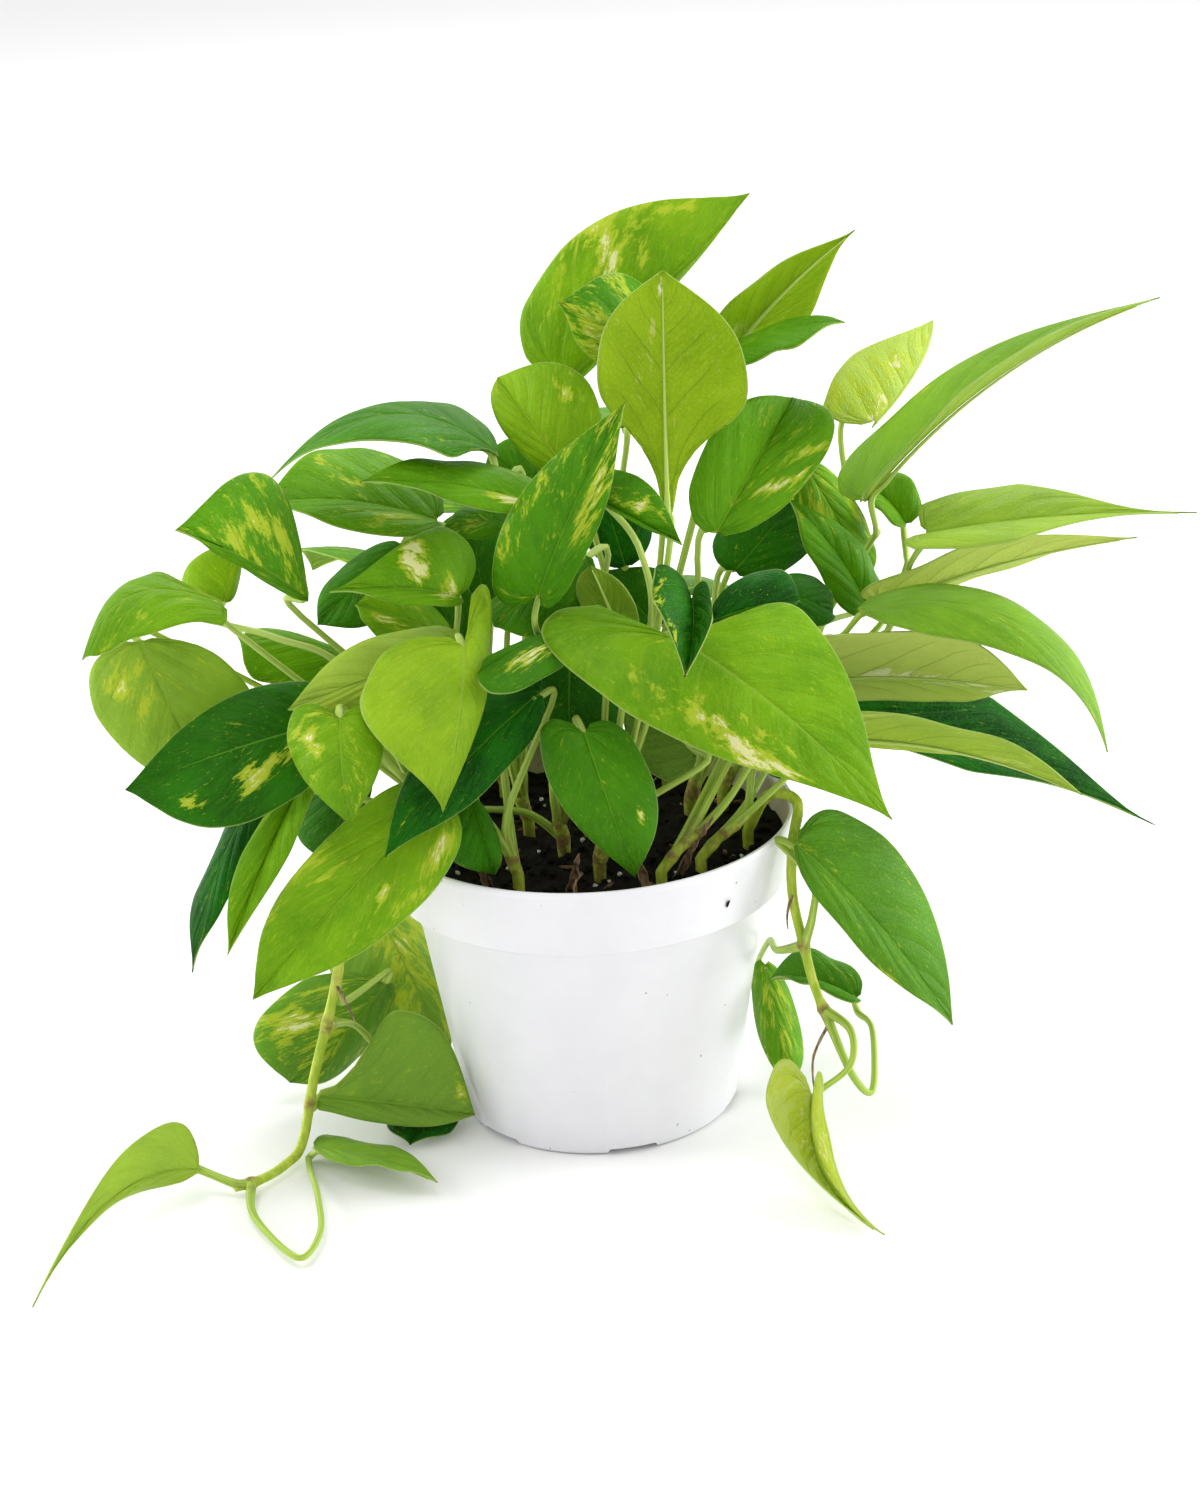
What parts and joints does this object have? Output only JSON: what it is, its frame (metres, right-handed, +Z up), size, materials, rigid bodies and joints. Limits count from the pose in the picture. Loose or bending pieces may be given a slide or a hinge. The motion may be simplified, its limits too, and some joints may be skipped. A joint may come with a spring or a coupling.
{
  "type": "potted plant",
  "caption": "Golden pothos with bushy heart-shaped variegated leaves and trailing vines, in a round white plastic nursery pot filled with soil.",
  "frame": {"origin": "centre of the pot's underside, on the surface that it stands on", "axes": "+Z up along the pot's axis; +X to the right as the picture shows the plant, along its longest extent; -Y toward the front, where the picture was taken"},
  "size_m": [0.463, 0.2977, 0.3636],
  "materials": {
    "pot_plastic": "smooth cool white moulded plastic with a soft sheen",
    "soil": "near-black damp potting soil with white perlite flecks",
    "leaf": "glossy mid-green leaves with yellow and cream variegation, paler undersides, pale green petioles and stems"
  },
  "bodies": {
    "root": {"pot": "pot_plastic", "soil": "soil", "vine_top": "leaf", "vine_crown_left": "leaf", "vine_middle": "leaf", "vine_crown_right": "leaf", "vine_right_high": "leaf", "vine_right": "leaf", "vine_right_low": "leaf", "vine_front": "leaf", "vine_left_high": "leaf", "vine_left": "leaf", "vine_left_front": "leaf", "vine_front_left": "leaf", "vine_trailing_left": "leaf", "vine_trailing_right": "leaf", "vine_back_left": "leaf", "vine_back": "leaf", "vine_back_right": "leaf"}
  },
  "joints": []
}
